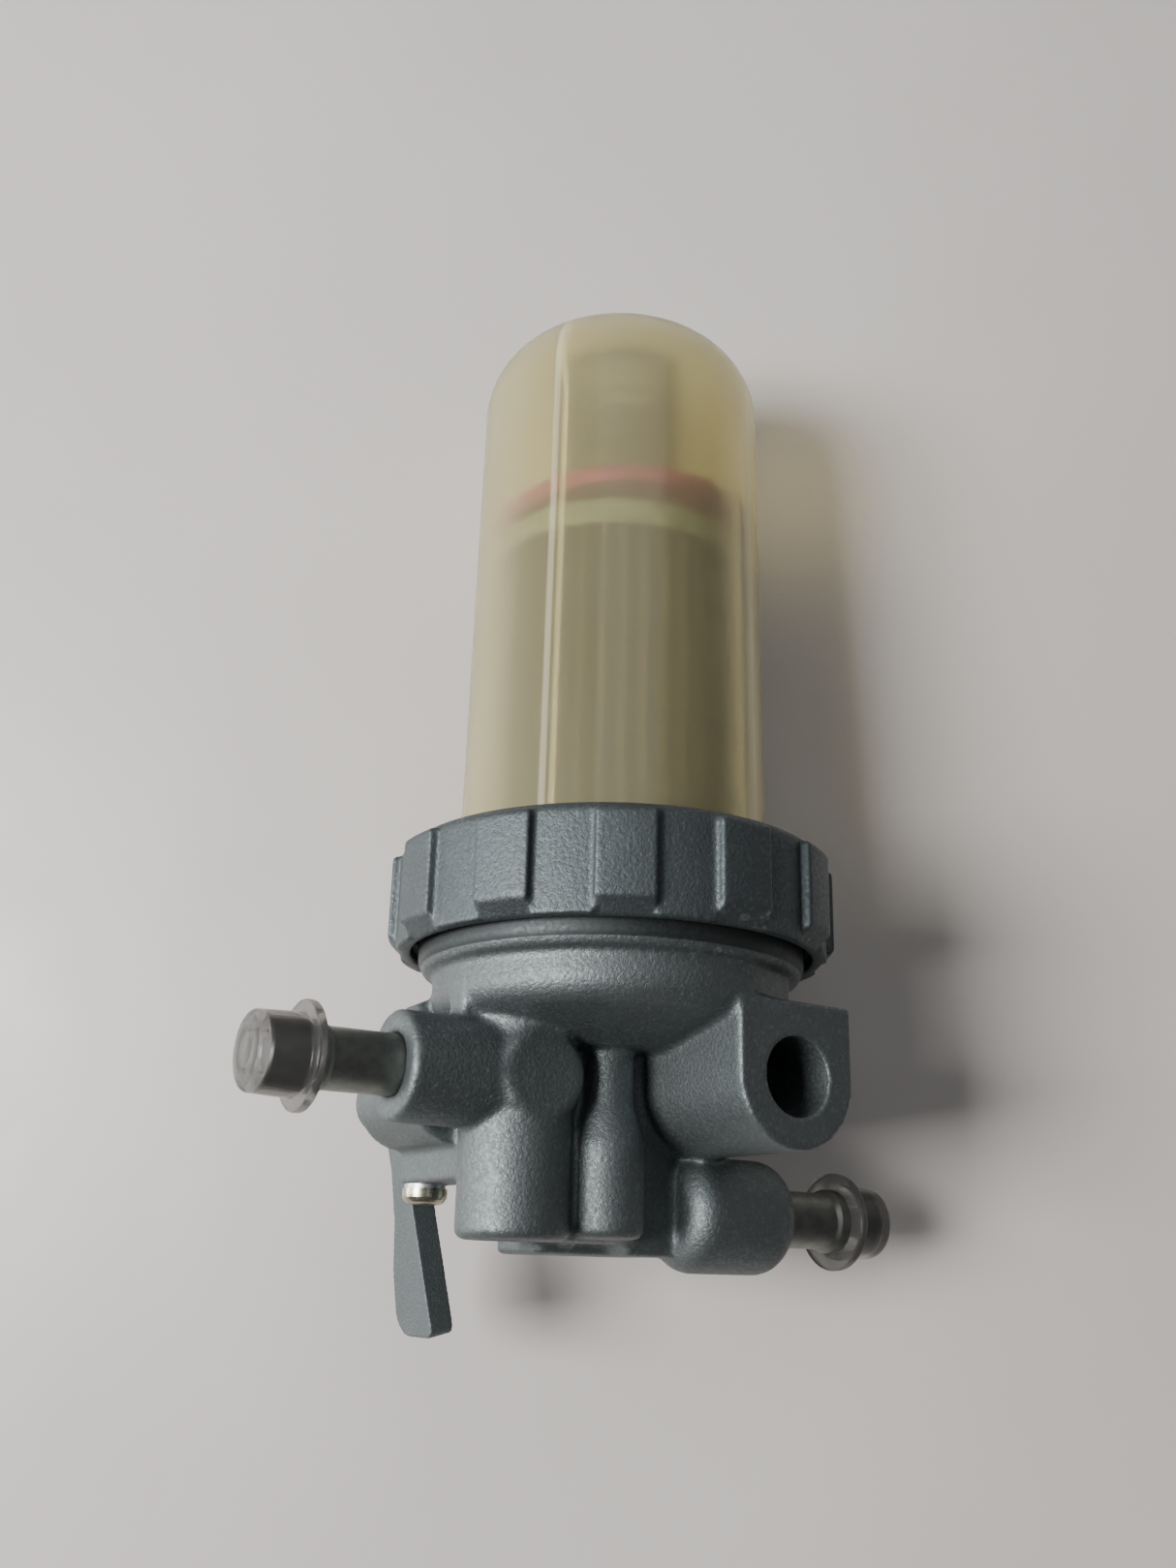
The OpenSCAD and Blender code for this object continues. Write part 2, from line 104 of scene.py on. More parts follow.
def make_camera():
    data = bpy.data.cameras.new("camera")
    data.lens = LENS
    data.sensor_width = SENSOR
    data.clip_start = 0.01
    data.clip_end = 20
    camera = bpy.data.objects.new("camera", data)
    bpy.context.scene.collection.objects.link(camera)
    spot = AXIS - seen(*SEEN_AT) * MM
    camera.matrix_world = Matrix.Translation(spot) @ TO_FILTER.to_4x4()
    bpy.context.scene.camera = camera


# The floor lies behind the filter, FLOOR_GAP from its axis, and comes nearer it towards the bowl's tip
FLOOR_FALL = 0.13
FLOOR_GAP = 32.5

# What the soft boxes look at, as a height in the filter's frame
LIT_HEIGHT = -20


def floor_frame():
    """The floor's centre and its rotation, with local Z as its upward normal."""
    across = Vector((-sin(TURN), cos(TURN), 0))
    normal = (across + Vector((0, 0, FLOOR_FALL))).normalized()
    centre = AXIS - normal * FLOOR_GAP * MM / (1 + FLOOR_FALL ** 2) ** 0.5
    return centre, normal.to_track_quat("Z", "Y")


def area_light(name, direction, distance, size, watts, colour):
    """A soft box that looks at the filter from a direction in camera axes; distance and size in metres."""
    data = bpy.data.lights.new(name, "AREA")
    data.shape = "RECTANGLE"
    data.size, data.size_y = size
    data.energy = watts
    data.color = colour
    light = bpy.data.objects.new(name, data)
    bpy.context.scene.collection.objects.link(light)
    back = seen(*direction).normalized()
    light.location = place(0, 0, LIT_HEIGHT) + back * distance
    light.rotation_mode = "QUATERNION"
    light.rotation_quaternion = back.to_track_quat("Z", "Y")


def make_lights():
    area_light("key", (-0.70, 0.16, 0.80), 0.75, (0.34, 0.24), 9.4, (1.0, 0.98, 0.955))
    area_light("left_strip", (-1.0, -0.05, -0.01), 0.6, (0.015, 0.20), 0.5, (1.0, 0.99, 0.97))
    area_light("left_gap", (-1.0, -0.05, 0.17), 0.6, (0.015, 0.20), 0.35, (1.0, 0.99, 0.97))
    area_light("top_fill", (0.15, 0.75, 0.65), 1.0, (0.8, 0.6), 1.5, (0.97, 0.98, 1.0))
    area_light("left_fill", (-1.0, 0.22, 0.25), 0.7, (0.5, 0.3), 1.3, (0.93, 0.96, 1.0))
    world = bpy.data.worlds.new("studio")
    world.use_nodes = True
    background = world.node_tree.nodes["Background"]
    background.inputs["Color"].default_value = (0.80, 0.795, 0.79, 1)
    background.inputs["Strength"].default_value = 0.125
    bpy.context.scene.world = world


# ---------------------------------------------------------------- materials

# Guide ribs down the inside of the bowl
RIBS = 4
RIB_ANGLES = [radians(59) + 2 * pi * k / RIBS for k in range(RIBS)]


class Shader:
    """A material's node tree, with short calls for the nodes used here."""

    def __init__(self, name, **inputs):
        self.material = bpy.data.materials.new(name)
        self.material.use_nodes = True
        self.tree = self.material.node_tree
        self.surface = self.tree.nodes["Principled BSDF"]
        for key, value in inputs.items():
            self.set(key.replace("_", " "), value)
        self.place = self.node("ShaderNodeTexCoord").outputs["Object"]

    def node(self, kind, **values):
        made = self.tree.nodes.new(kind)
        for key, value in values.items():
            setattr(made, key, value)
        return made

    def link(self, source, target):
        self.tree.links.new(source, target)

    def set(self, socket, value):
        """Gives a socket of the Principled shader a value or a link."""
        target = self.surface.inputs[socket]
        if hasattr(value, "is_linked"):
            self.link(value, target)
        else:
            target.default_value = value

    def noise(self, size_mm, detail=2.0, rough=0.5, stretch=(1, 1, 1)):
        """Noise whose features are about size_mm across, from 0 to 1."""
        mapping = self.node("ShaderNodeMapping")
        mapping.inputs["Scale"].default_value = stretch
        self.link(self.place, mapping.inputs["Vector"])
        made = self.node("ShaderNodeTexNoise")
        made.inputs["Scale"].default_value = 1 / (size_mm * MM)
        made.inputs["Detail"].default_value = detail
        made.inputs["Roughness"].default_value = rough
        self.link(mapping.outputs["Vector"], made.inputs["Vector"])
        return made.outputs["Fac"]

    def cells(self, size_mm):
        """A random value from 0 to 1 for each grain of about size_mm."""
        made = self.node("ShaderNodeTexVoronoi")
        made.inputs["Scale"].default_value = 1 / (size_mm * MM)
        self.link(self.place, made.inputs["Vector"])
        split = self.node("ShaderNodeSeparateColor")
        self.link(made.outputs["Color"], split.inputs["Color"])
        return split.outputs["Red"]

    def spread(self, source, low, high, to_low=0.0, to_high=1.0):
        """Maps low..high to to_low..to_high, held at the ends."""
        made = self.node("ShaderNodeMapRange")
        ends = {"From Min": low, "From Max": high, "To Min": to_low, "To Max": to_high}
        for socket, value in ends.items():
            made.inputs[socket].default_value = value
        self.link(source, made.inputs["Value"])
        return made.outputs["Result"]

    def maths(self, operation, a, b):
        made = self.node("ShaderNodeMath", operation=operation)
        for socket, value in zip(made.inputs, (a, b)):
            if hasattr(value, "is_linked"):
                self.link(value, socket)
            else:
                socket.default_value = value
        return made.outputs["Value"]

    def mix(self, factor, a, b, blend="MIX"):
        """A colour between a and b; each is a socket or three numbers."""
        made = self.node("ShaderNodeMix", data_type="RGBA", blend_type=blend)
        for index, value in ((0, factor), (6, a), (7, b)):
            socket = made.inputs[index]
            if hasattr(value, "is_linked"):
                self.link(value, socket)
            else:
                socket.default_value = value if index == 0 else (*value, 1)
        return made.outputs[2]

    def edges(self, low, high):
        """1 on worn outer edges and 0 elsewhere."""
        sharp = self.node("ShaderNodeNewGeometry").outputs["Pointiness"]
        return self.spread(sharp, low, high)

    def from_origin(self):
        """X, Y and Z in the filter's frame, in metres."""
        away = self.node("ShaderNodeVectorMath", operation="SUBTRACT")
        self.link(self.place, away.inputs[0])
        away.inputs[1].default_value = AXIS
        parts = self.node("ShaderNodeSeparateXYZ")
        self.link(away.outputs["Vector"], parts.inputs["Vector"])
        return parts

    def below(self, height_mm, blur_mm=0.1):
        """1 below a height in the filter's frame and 0 above it."""
        height = self.from_origin().outputs["Z"]
        return self.spread(height, (height_mm - blur_mm) * MM, (height_mm + blur_mm) * MM, 1, 0)

    def near_ribs(self):
        """1 on the bowl's guide ribs and 0 elsewhere."""
        parts = self.from_origin()
        angle = self.maths("ARCTAN2", parts.outputs["Y"], parts.outputs["X"])
        apart = self.maths("PINGPONG", self.maths("SUBTRACT", angle, RIB_ANGLES[0]), pi / RIBS)
        middle, side = 0.012, 0.032
        return self.spread(apart, middle, side, 1, 0)

    def bump(self, height, depth_mm, strength=1.0):
        made = self.node("ShaderNodeBump")
        made.inputs["Strength"].default_value = strength
        made.inputs["Distance"].default_value = depth_mm * MM
        self.link(height, made.inputs["Height"])
        self.set("Normal", made.outputs["Normal"])

    def clear_to_lamps(self, colour):
        """Lets light from lamps through, so that it reaches what is inside."""
        path = self.node("ShaderNodeLightPath")
        clear = self.node("ShaderNodeBsdfTransparent")
        clear.inputs["Color"].default_value = (*colour, 1)
        mixed = self.node("ShaderNodeMixShader")
        self.link(path.outputs["Is Shadow Ray"], mixed.inputs[0])
        self.link(self.surface.outputs[0], mixed.inputs[1])
        self.link(clear.outputs[0], mixed.inputs[2])
        self.link(mixed.outputs[0], self.tree.nodes["Material Output"].inputs["Surface"])


def cast_metal(name, base, grain_mm=0.5, turned_and_shaded_below=None):
    """Sand-blasted die casting: grainy satin metal with worn edges, and bright specks of painted glint.

    Below a given height, if one is given, it is machined smooth and darker; the darkening is partly a
    turned finish and partly painted shade inside the ring nut's mouth.
    """
    s = Shader(name, Metallic=0.9)
    dark = tuple(0.72 * c for c in base)
    # light is the colour of the painted glints that the bright specks carry
    light = tuple(min(1, 1.5 * c) for c in base)
    cloud = s.spread(s.noise(6, 3), 0.3, 0.7)
    tone = s.mix(cloud, tuple(0.93 * c for c in base), tuple(1.05 * c for c in base))
    grain = s.spread(s.noise(grain_mm, 2, 0.7), 0.25, 0.75)
    tone = s.mix(s.maths("MULTIPLY", grain, 0.5), tone, dark)
    # Painted glints: bright specks in the colour stand in for the sparkle of the blasted grain; the same
    # specks also add to the bump
    painted_glint_speck = s.spread(s.cells(grain_mm * 0.8), 0.8, 1.0)
    tone = s.mix(s.maths("MULTIPLY", painted_glint_speck, 0.4), tone, light)
    patchy = s.spread(s.noise(1.2, 2), 0.35, 0.65, 0.35, 1)
    worn = s.maths("MULTIPLY", s.edges(0.555, 0.65), patchy)
    tone = s.mix(worn, tone, tuple(min(1, 1.7 * c + 0.03) for c in base))
    rough = s.spread(s.noise(grain_mm, 1), 0.3, 0.7, 0.50, 0.64)
    rough = s.maths("SUBTRACT", rough, s.maths("MULTIPLY", worn, 0.12))
    height = s.maths("ADD", grain, s.maths("MULTIPLY", painted_glint_speck, 0.6))
    if turned_and_shaded_below is not None:
        # Painted shade and turned finish: below this height the colour is darkened as painted shade inside
        # the ring nut's mouth, and the grain's bump is taken off as on a turned face
        turned = s.below(turned_and_shaded_below)
        tone = s.mix(turned, tone, tuple(0.36 * c for c in base))
        height = s.maths("MULTIPLY", height, s.maths("SUBTRACT", 1, turned))
    s.set("Base Color", tone)
    s.set("Roughness", rough)
    s.bump(height, 0.06, 1.0)
    return s.material


def turned_metal(name, base, rough=0.38):
    """Plated or machined metal: fine marks and a slight mottling."""
    s = Shader(name, Metallic=1.0)
    patch = s.spread(s.noise(1.4, 3, 0.6), 0.35, 0.65)
    tone = s.mix(patch, base, tuple(1.25 * c for c in base))
    worn = s.edges(0.53, 0.62)
    s.set("Base Color", s.mix(s.maths("MULTIPLY", worn, 0.6), tone, tuple(min(1, 2 * c) for c in base)))
    fine = s.noise(0.12, 2, 0.6)
    s.set("Roughness", s.spread(fine, 0.3, 0.7, rough - 0.07, rough + 0.09))
    s.bump(fine, 0.008, 0.6)
    return s.material


def rubber(name):
    """Black rubber, matt and a little uneven."""
    s = Shader(name, Specular_IOR_Level=0.35)
    patch = s.spread(s.noise(1.5), 0.3, 0.7)
    s.set("Base Color", s.mix(patch, (0.018, 0.018, 0.019), (0.035, 0.035, 0.036)))
    s.set("Roughness", s.spread(s.noise(0.4), 0.3, 0.7, 0.55, 0.75))
    s.bump(s.noise(0.3), 0.01)
    return s.material


def moulded(name, base, rough=0.4):
    """Opaque moulded plastic with faint mottling."""
    s = Shader(name)
    s.set("Base Color", s.mix(s.spread(s.noise(3), 0.3, 0.7), base, tuple(0.86 * c for c in base)))
    s.set("Roughness", s.spread(s.noise(0.8), 0.3, 0.7, rough - 0.06, rough + 0.08))
    s.bump(s.noise(0.5), 0.01)
    return s.material


def pleated_paper(name):
    """Resin-treated paper: fibres, and stains that run with the pleats."""
    s = Shader(name)
    fibre = s.noise(0.5, 4, 0.7, (1, 1, 0.4))
    # Painted shade: these tones are kept very dark to stand in for the shade that the bowl's wall casts on
    # the paper, since lamp light passes the wall unshadowed
    tone = s.mix(s.spread(fibre, 0.3, 0.7), (0.026, 0.021, 0.009), (0.040, 0.032, 0.014))
    s.set("Base Color", s.mix(s.spread(s.noise(9, 2), 0.35, 0.7), tone, (0.029, 0.023, 0.010)))
    s.set("Roughness", s.spread(fibre, 0.3, 0.7, 0.8, 0.95))
    s.bump(fibre, 0.05)
    return s.material


def milky_nylon(name):
    """The bowl: cream nylon that blurs what is inside and keeps a glossy skin; its ribs are cloudier."""
    s = Shader(name, IOR=1.2, Specular_IOR_Level=0.55, Coat_Weight=0.45, Coat_Roughness=0.1, Coat_IOR=1.5)
    cloud = s.spread(s.noise(14, 2), 0.3, 0.7)
    wall = s.mix(cloud, (0.84, 0.80, 0.55), (0.81, 0.765, 0.52))
    rib = s.near_ribs()
    s.set("Base Color", s.mix(rib, wall, (0.95, 0.89, 0.62)))
    s.set("Transmission Weight", s.spread(rib, 0, 1, 0.92, 0.70))
    s.set("Roughness", s.spread(s.noise(2.5), 0.3, 0.7, 0.44, 0.50))
    s.bump(s.noise(5, 2), 0.02, 0.5)
    s.clear_to_lamps((0.56, 0.53, 0.43))
    return s.material


def clear_cap(name):
    """Soft polyethylene: greyish white and see-through."""
    s = Shader(name, Transmission_Weight=0.92, IOR=1.15, Coat_Weight=0.2, Coat_Roughness=0.15)
    s.set("Base Color", s.mix(s.spread(s.noise(2), 0.3, 0.7), (0.30, 0.30, 0.295), (0.26, 0.26, 0.255)))
    s.set("Roughness", s.spread(s.noise(1.6), 0.3, 0.7, 0.12, 0.2))
    s.clear_to_lamps((0.88, 0.88, 0.88))
    return s.material


def pale_floor(name):
    """Glossy pale sheet, seen only from its upper side."""
    s = Shader(name, Specular_IOR_Level=0.5)
    s.set("Base Color", s.mix(s.spread(s.noise(90, 2), 0.3, 0.7), (0.62, 0.588, 0.568), (0.58, 0.55, 0.53)))
    s.set("Roughness", s.spread(s.noise(30, 2), 0.3, 0.7, 0.32, 0.42))
    s.bump(s.noise(25, 3), 0.35, 0.5)
    clear = s.node("ShaderNodeBsdfTransparent")
    mixed = s.node("ShaderNodeMixShader")
    s.link(s.node("ShaderNodeNewGeometry").outputs["Backfacing"], mixed.inputs[0])
    s.link(s.surface.outputs[0], mixed.inputs[1])
    s.link(clear.outputs[0], mixed.inputs[2])
    s.link(mixed.outputs[0], s.tree.nodes["Material Output"].inputs["Surface"])
    return s.material


# The head's collar below 1.9 mm, inside the ring nut's mouth, gets a turned finish and painted shade
HEAD_METAL = cast_metal("cast_head", (0.158, 0.181, 0.186), turned_and_shaded_below=1.9)
RING_METAL = cast_metal("cast_ring", (0.108, 0.128, 0.136))
LEVER_METAL = cast_metal("cast_lever", (0.165, 0.19, 0.20), 0.3)
NIPPLE_STEEL = turned_metal("nipple_steel", (0.20, 0.21, 0.195), 0.42)
SCREW_STEEL = turned_metal("screw_steel", (0.38, 0.36, 0.28), 0.26)
PLUG_STEEL = turned_metal("plug_steel", (0.35, 0.36, 0.36))
TUBE_METAL = turned_metal("drawn_tube", (0.55, 0.57, 0.58))
ROTOR_BRASS = turned_metal("rotor_brass", (0.62, 0.46, 0.20), 0.3)
CORE_STEEL = turned_metal("core_steel", (0.45, 0.45, 0.43))
SPRING_STEEL = turned_metal("spring_steel", (0.05, 0.052, 0.056), 0.35)
RUBBER = rubber("black_rubber")
BOWL_NYLON = milky_nylon("milky_bowl")
CAP_PLASTIC = clear_cap("clear_cap")
CREAM_PLASTIC = moulded("cap_cream", (0.13, 0.16, 0.125))
RED_PLASTIC = moulded("red_float", (0.20, 0.001, 0.07), 0.5)
PAPER = pleated_paper("filter_paper")


# ---------------------------------------------------------------- mesh helpers

def add_piece(name, mesh, material, body, replaced):
    """Links a finished mesh as a piece that stands for CAD nodes."""
    mesh.materials.clear()
    mesh.materials.append(material)
    piece = bpy.data.objects.new(name, mesh)
    bpy.context.scene.collection.objects.link(piece)
    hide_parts(*replaced)
    if body:
        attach(piece, body)
    return piece


def rounded(corners, step=18):
    """A closed outline through (r, z, corner radius) points, with an arc point every step degrees."""
    points = [Vector(c[:2]) for c in corners]
    outline = []
    for i, (r, z, radius) in enumerate(corners):
        here = points[i]
        before = (points[i - 1] - here).normalized()
        after = (points[(i + 1) % len(points)] - here).normalized()
        if radius <= 0:
            outline.append((r, z))
            continue
        half = before.angle(after) / 2
        reach = radius / tan(half)
        centre = here + (before + after).normalized() * radius / sin(half)
        start, end = here + before * reach - centre, here + after * reach - centre
        sweep = pi - 2 * half
        count = max(2, round(sweep / radians(step)))
        side = 1 if start.x * end.y - start.y * end.x > 0 else -1
        for k in range(count + 1):
            a = side * sweep * k / count
            outline.append((centre.x + start.x * cos(a) - start.y * sin(a),
                            centre.y + start.x * sin(a) + start.y * cos(a)))
    return outline


def lathe(name, outline, placing=Matrix.Identity(4), segments=128, shape=None):
    """A mesh turned about local Z from a closed (r, z) outline. shape(r, z, angle) may change a radius."""
    rings, verts, faces = [], [], []
    for r, z in outline:
        if r < 1e-6:
            rings.append([len(verts)])
            verts.append((0, 0, z))
            continue
        ring = []
        for k in range(segments):
            a = 2 * pi * k / segments
            reach = shape(r, z, a) if shape else r
            ring.append(len(verts))
            verts.append((reach * cos(a), reach * sin(a), z))
        rings.append(ring)
    for one, two in zip(rings, rings[1:] + rings[:1]):
        if len(one) == 1 and len(two) == 1:
            continue
        for k in range(segments):
            n = k + 1
            corners = [one[k % len(one)], one[n % len(one)], two[n % len(two)], two[k % len(two)]]
            faces.append(list(dict.fromkeys(corners)))
    mesh = bpy.data.meshes.new(name)
    mesh.from_pydata(verts, [], faces)
    mesh.transform(PLACE @ placing)
    tidy(mesh)
    return mesh


def tidy(mesh, angle=38):
    """Faces outwards, smooth but for sharp edges."""
    work = bmesh.new()
    work.from_mesh(mesh)
    bmesh.ops.recalc_face_normals(work, faces=work.faces)
    work.to_mesh(mesh)
    work.free()
    mesh.shade_smooth()
    mesh.set_sharp_from_angle(angle=radians(angle))


# Passes that even out a remesh without shrinking it: each moves a vertex this share of the way to its
# neighbours' mean, and then back
EVEN_PASSES = 12
EVEN_THERE, EVEN_BACK = 0.5, 0.51
# Share of the way that a rounding step and the closing one move the skin
ROUND_PACE = 0.6
LAST_PACE = 0.3


def relax(mesh, voxel, hollow_r, edge_r, steps):
    """Rounds a casting: inner corners grow to radius hollow_r and outer edges to edge_r, in millimetres."""
    count = len(mesh.vertices)
    co = np.empty(count * 3, np.float32)
    mesh.vertices.foreach_get("co", co)
    co = co.reshape(-1, 3).astype(float)
    edges = np.empty(len(mesh.edges) * 2, np.int32)
    mesh.edges.foreach_get("vertices", edges)
    a, b = edges.reshape(-1, 2).T
    ends, others = np.concatenate([a, b]), np.concatenate([b, a])
    degree = np.bincount(ends, minlength=count)

    def lean():
        """From each vertex to the mean of its neighbours."""
        total = [np.bincount(ends, weights=co[others, k], minlength=count) for k in range(3)]
        return np.stack(total, 1) / degree[:, None] - co

    for _ in range(EVEN_PASSES):
        co += EVEN_THERE * lean()
        co -= EVEN_BACK * lean()
    inner = (voxel * voxel) / (4 * hollow_r) * MM
    outer = (voxel * voxel) / (4 * edge_r) * MM
    normals = np.empty(count * 3, np.float32)
    for _ in range(steps):
        mesh.vertices.foreach_set("co", co.astype(np.float32).ravel())
        mesh.update()
        mesh.vertex_normals.foreach_get("vector", normals)
        n = normals.reshape(-1, 3)
        out = np.einsum("ij,ij->i", lean(), n)
        move = np.maximum(out - inner, 0) + np.minimum(out + outer, 0)
        co += ROUND_PACE * move[:, None] * n
    co += LAST_PACE * lean()
    mesh.vertices.foreach_set("co", co.astype(np.float32).ravel())
    mesh.update()


# The mounting bore runs along the row frame's Y, and the skin within BORE_NEAR of its wall is drawn to it
BORE_R = 5.1
BORE_NEAR = 0.38
# How far a copy of a node that hangs under another reaches up into it, so that both become one skin
OVERLAP = 0.5


def true_bore(mesh):
    """Draws the skin round the mounting bore to its drilled radius."""
    co = np.empty(len(mesh.vertices) * 3, np.float32)
    mesh.vertices.foreach_get("co", co)
    co = co.reshape(-1, 3)
    r = np.hypot(co[:, 0], co[:, 2])
    near = abs(r - BORE_R * MM) < BORE_NEAR * MM
    co[near, 0] *= BORE_R * MM / r[near]
    co[near, 2] *= BORE_R * MM / r[near]
    mesh.vertices.foreach_set("co", co.ravel())
    mesh.update()


def casting(nodes, body, material, voxel, hollow_r, edge_r, steps):
    """CAD nodes as one casting: a single skin, with rounded inner corners and edges.

    Nodes after the first hang under it face to face.
    """
    joined = bmesh.new()
    for node in nodes:
        known = len(joined.verts)
        joined.from_mesh(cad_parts[node].data)
        joined.verts.ensure_lookup_table()
        added = joined.verts[known:]
        top = max(vert.co.z for vert in added)
        for vert in added:
            if known and vert.co.z > top - 0.01 * MM:
                vert.co.z += OVERLAP * MM
    copy = bpy.data.meshes.new("work")
    joined.to_mesh(copy)
    joined.free()
    work = bpy.data.objects.new("work", copy)
    bpy.context.scene.collection.objects.link(work)
    remesh = work.modifiers.new("skin", "REMESH")
    remesh.mode = "VOXEL"
    remesh.voxel_size = voxel * MM
    graph = bpy.context.evaluated_depsgraph_get()
    mesh = bpy.data.meshes.new_from_object(work.evaluated_get(graph))
    bpy.data.objects.remove(work)
    relax(mesh, voxel, hollow_r, edge_r, steps)
    true_bore(mesh)
    mesh.shade_smooth()
    mesh.name = nodes[0] + "_casting"
    return add_piece(mesh.name, mesh, material, body, nodes)


# ---------------------------------------------------------------- pieces

def make_castings():
    casting(
        ["head", "head_collar"], "root", HEAD_METAL,
        voxel=0.465, hollow_r=1.8, edge_r=0.4, steps=50,
    )
    casting(
        ["ring_nut"], "ring", RING_METAL,
        voxel=0.335, hollow_r=0.8, edge_r=0.3, steps=18,
    )
    casting(
        ["cock_lever"], "cock", LEVER_METAL,
        voxel=0.2, hollow_r=0.6, edge_r=0.4, steps=30,
    )


# The bowl's outside, its flange, and the upper and lower ends of its inner wall as (r, z)
BOWL_TIP = -97
BOWL_WALL = 1.8
BOWL_LOW_R, BOWL_TOP_R = 20.85, 21.6
BOWL_ROUND = 12
FLANGE_R, FLANGE_LOW, FLANGE_TOP = 25.4, -11.9, -8.8
WALL_TOP, WALL_LOW = (19.78, -12.4), (19.1, -84.1)
WALL_STEPS = 20
# Where the ribs run, how far they stand in, and half their width
RIB_LOW, RIB_HIGH = -84, -12.5
RIB_RISE = 1.2
RIB_HALF = 0.8
# Radii between which a point of the outline is on the inner wall
WALL_BAND = (15, 20)


def ribbed(r, z, angle):
    """The bowl's inner wall stands in at its guide ribs."""
    if not WALL_BAND[0] <= r <= WALL_BAND[1] or not RIB_LOW < z < RIB_HIGH:
        return r
    apart = min(abs((angle - rib + pi) % (2 * pi) - pi) for rib in RIB_ANGLES)
    return r - RIB_RISE * max(0, 1 - (apart * r / RIB_HALF) ** 4)


def make_bowl():
    floor = BOWL_TIP + BOWL_WALL
    top, low = Vector(WALL_TOP), Vector(WALL_LOW)
    wall = [(*top.lerp(low, k / WALL_STEPS), 0) for k in range(WALL_STEPS + 1)]
    outline = rounded([
        (0, BOWL_TIP, 0), (BOWL_LOW_R, BOWL_TIP, BOWL_ROUND), (BOWL_TOP_R, FLANGE_LOW, 0.5),
        (FLANGE_R, FLANGE_LOW, 0.3), (FLANGE_R, FLANGE_TOP, 0.3), (WALL_TOP[0] + 0.02, FLANGE_TOP, 0.3),
        *wall, (WALL_LOW[0] - 0.05, floor, BOWL_ROUND - BOWL_WALL), (0, floor, 0),
    ], 7)
    mesh = lathe("bowl_shell", outline, segments=360, shape=ribbed)
    add_piece("bowl_shell", mesh, BOWL_NYLON, "bowl", ["bowl"])


def make_float():
    """A ring that leans on the element's lower cap."""
    inner, outer, half, edge = 11.6, 18, 1.2, 0.5
    height = -66.5
    outline = rounded([
        (inner, -half, edge), (outer, -half, edge), (outer, half, edge), (inner, half, edge),
    ])
    lean = Matrix.Rotation(radians(30), 4, "Z") @ Matrix.Rotation(radians(4), 4, "Y")
    mesh = lathe("float_ring", outline, Matrix.Translation((0, 0, height)) @ lean)
    add_piece("float_ring", mesh, RED_PLASTIC, "float", ["water_float"])


ELEMENT_LOW = -62.6
END_CAP_R, END_CAP_INSIDE = 17.9, 17.3


def make_end_caps():
    depth, web = 4, 1.2
    cup = rounded([
        (0, 0, 0), (END_CAP_R, 0, 0.9), (END_CAP_R, depth, 0.25), (END_CAP_INSIDE, depth, 0.25),
        (END_CAP_INSIDE, web, 0.4), (0, web, 0),
    ])
    mesh = lathe("element_end_cap", cup, Matrix.Translation((0, 0, ELEMENT_LOW)))
    add_piece("element_end_cap", mesh, CREAM_PLASTIC, "element", ["element_bottom_cap"])
    hole, crown, under, skirt = 7.5, -3.9, -4.9, -6.5
    top = rounded([
        (hole, under, 0.2), (hole, crown, 0.3), (END_CAP_R, crown, 0.9), (END_CAP_R, skirt, 0.25),
        (END_CAP_INSIDE, skirt, 0.2), (END_CAP_INSIDE, under, 0.3),
    ])
    mesh = lathe("element_collar", top)
    add_piece("element_collar", mesh, CREAM_PLASTIC, "element", ["element_top_cap"])


def make_pleats():
    """A folded paper wall: broad folds outside, narrow ones inside, glued into the end caps."""
    pleats, per_fold = 36, 10
    outer, inner, paper = 17.1, 9.4, 0.45
    low, high, levels = ELEMENT_LOW + 1.3, -5.0, 12
    wander = 0.0035
    count = pleats * per_fold
    verts, faces = [], []
    for level in range(levels + 1):
        z = low + (high - low) * level / levels
        sway = wander * sin(3.1 * level / levels * pi)
        for side in (0, 1):
            for k in range(count):
                phase = 2 * pi * k / per_fold
                wave = 0.5 + 0.5 * (cos(phase) * (1.7 - 0.7 * cos(phase) ** 2))
                a = 2 * pi * k / count + sway * sin(phase * 0.5)
                r = inner + (outer - inner) * wave - side * paper * (1 + 0.8 * abs(cos(phase)))
                verts.append((r * cos(a), r * sin(a), z))
    for level in range(levels):
        base, above = level * 2 * count, (level + 1) * 2 * count
        for k in range(count):
            n = (k + 1) % count
            faces.append((base + k, base + n, above + n, above + k))
            faces.append((base + count + n, base + count + k, above + count + k, above + count + n))
    for base, turn in ((0, 1), (levels * 2 * count, -1)):
        for k in range(count):
            n = (k + 1) % count
            faces.append((base + k, base + count + k, base + count + n, base + n)[::turn])
    mesh = bpy.data.meshes.new("pleated_paper")
    mesh.from_pydata(verts, [], faces)
    mesh.transform(PLACE)
    tidy(mesh)
    add_piece("pleated_paper", mesh, PAPER, "element", ["element_media"])


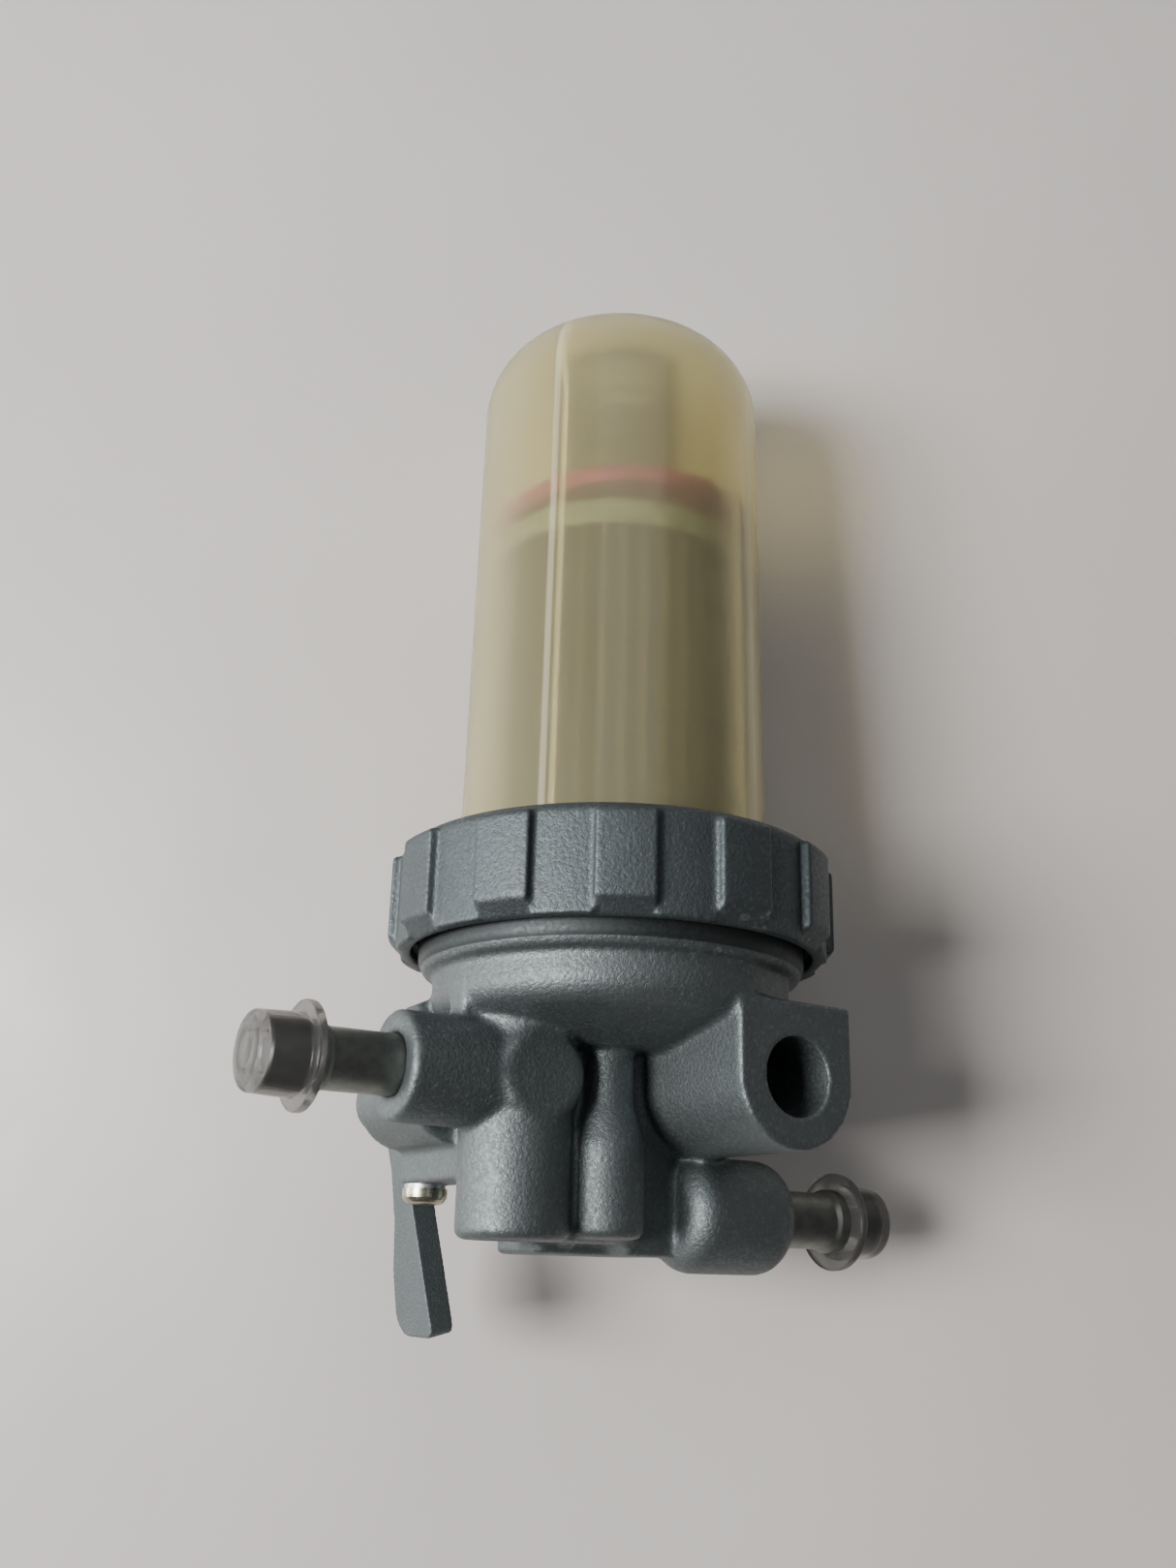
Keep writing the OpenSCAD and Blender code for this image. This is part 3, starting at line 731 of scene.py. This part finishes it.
def make_spring():
    """A closed-end coil that stretches between the element and the bowl's floor."""
    wire, coil, turns = 0.7, 8.5, 12
    seat = 0.4
    low, high = BOWL_TIP + BOWL_WALL + wire, ELEMENT_LOW + seat - wire
    per_turn, sides = 48, 12
    verts, faces = [], []
    for i in range(turns * per_turn + 1):
        t = i / per_turn
        free = min(max(t - 1, 0), turns - 2)
        ends = min(t, 1) + max(t - turns + 1, 0)
        z = low + 2 * wire * ends + (high - low - 4 * wire) * free / (turns - 2)
        for s in range(sides):
            b = 2 * pi * s / sides
            r = coil + wire * cos(b)
            verts.append((r * cos(2 * pi * t), r * sin(2 * pi * t), z + wire * sin(b)))
    for i in range(turns * per_turn):
        for s in range(sides):
            n = (s + 1) % sides
            faces.append((i * sides + s, i * sides + n, (i + 1) * sides + n, (i + 1) * sides + s))
    faces.append(list(range(sides)))
    faces.append([turns * per_turn * sides + s for s in range(sides)][::-1])
    mesh = bpy.data.meshes.new("coil_spring")
    mesh.from_pydata(verts, [], faces)
    mesh.transform(PLACE)
    tidy(mesh)
    piece = add_piece("coil_spring", mesh, SPRING_STEEL, None, ["element_spring"])
    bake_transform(piece)


NIPPLE_LEN = 17
# From +Z at the face of each hose boss to where its nipple points
HOSE_LINES = {
    "inlet": (Matrix.Translation((-32.3, 0.4, 16.9)) @ Matrix.Rotation(-pi / 2, 4, "Y")),
    "outlet": (Matrix.Translation((26.4, 1.5, 32.8)) @ Matrix.Rotation(pi / 2, 4, "Y")),
}


def make_nipples():
    """The two nipple tubes and the caps pushed over their beads."""
    stem, bead, bore, seat = 3.85, 4.35, 2.6, -8
    tube = rounded([
        (bore, seat, 0.1), (stem, seat, 0.4), (stem, 9.0, 0.4), (bead, 9.6, 0.3), (bead, 11.3, 0.6),
        (stem + 0.05, NIPPLE_LEN - 0.5, 0.3), (stem - 0.4, NIPPLE_LEN, 0.15), (bore, NIPPLE_LEN, 0.2),
    ])
    end, mouth, wall = NIPPLE_LEN + 1.6, 11, bead + 0.03
    cap = rounded([
        (wall, mouth, 0.1), (6.72, mouth, 0.3), (6.72, mouth + 1.2, 0.35), (5.15, mouth + 1.3, 0.35),
        (4.85, end, 0.9), (3.0, end, 0.15), (2.75, end - 0.45, 0.1), (2.3, end - 0.45, 0.1),
        (2.1, end, 0.15),
        (0, end, 0), (0, NIPPLE_LEN + 0.1, 0), (wall, NIPPLE_LEN + 0.1, 0.3),
    ])
    for line, placing in HOSE_LINES.items():
        mesh = lathe(line + "_nipple_tube", tube, placing, 96)
        add_piece(line + "_nipple_tube", mesh, NIPPLE_STEEL, "root", [line + "_nipple"])
        mesh = lathe(line + "_shipping_cap", cap, placing, 96)
        add_piece(line + "_shipping_cap", mesh, CAP_PLASTIC, line + "_cap", [line + "_cap"])


def keep_cad(materials):
    """Gives the CAD nodes that are shown as they are their materials."""
    for node, material in materials.items():
        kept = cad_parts[node]
        for index in range(len(kept.material_slots)):
            kept.material_slots[index].material = material


def make_floor():
    """A broad sheet under the filter, gently uneven."""
    half, count = 0.9, 60
    centre, turn = floor_frame()
    verts = [(half * (2 * i / count - 1), half * (2 * j / count - 1), 0)
             for j in range(count + 1) for i in range(count + 1)]
    faces = [(j * (count + 1) + i, j * (count + 1) + i + 1, (j + 1) * (count + 1) + i + 1,
              (j + 1) * (count + 1) + i) for j in range(count) for i in range(count)]
    mesh = bpy.data.meshes.new("floor")
    mesh.from_pydata(verts, [], faces)
    mesh.shade_smooth()
    mesh.materials.append(pale_floor("floor"))
    floor = bpy.data.objects.new("floor", mesh)
    floor.matrix_world = Matrix.Translation(centre) @ turn.to_matrix().to_4x4()
    bpy.context.scene.collection.objects.link(floor)


make_camera()
make_lights()
make_floor()
make_castings()
make_bowl()
make_float()
make_end_caps()
make_pleats()
make_spring()
make_nipples()
keep_cad({
    "standpipe": TUBE_METAL, "passage_plug": PLUG_STEEL, "cock_rotor": ROTOR_BRASS, "cock_orings": RUBBER,
    "retaining_screw": SCREW_STEEL, "screw_lock_washer": PLUG_STEEL, "bowl_oring": RUBBER,
    "element_core": CORE_STEEL, "element_grommet": RUBBER,
})
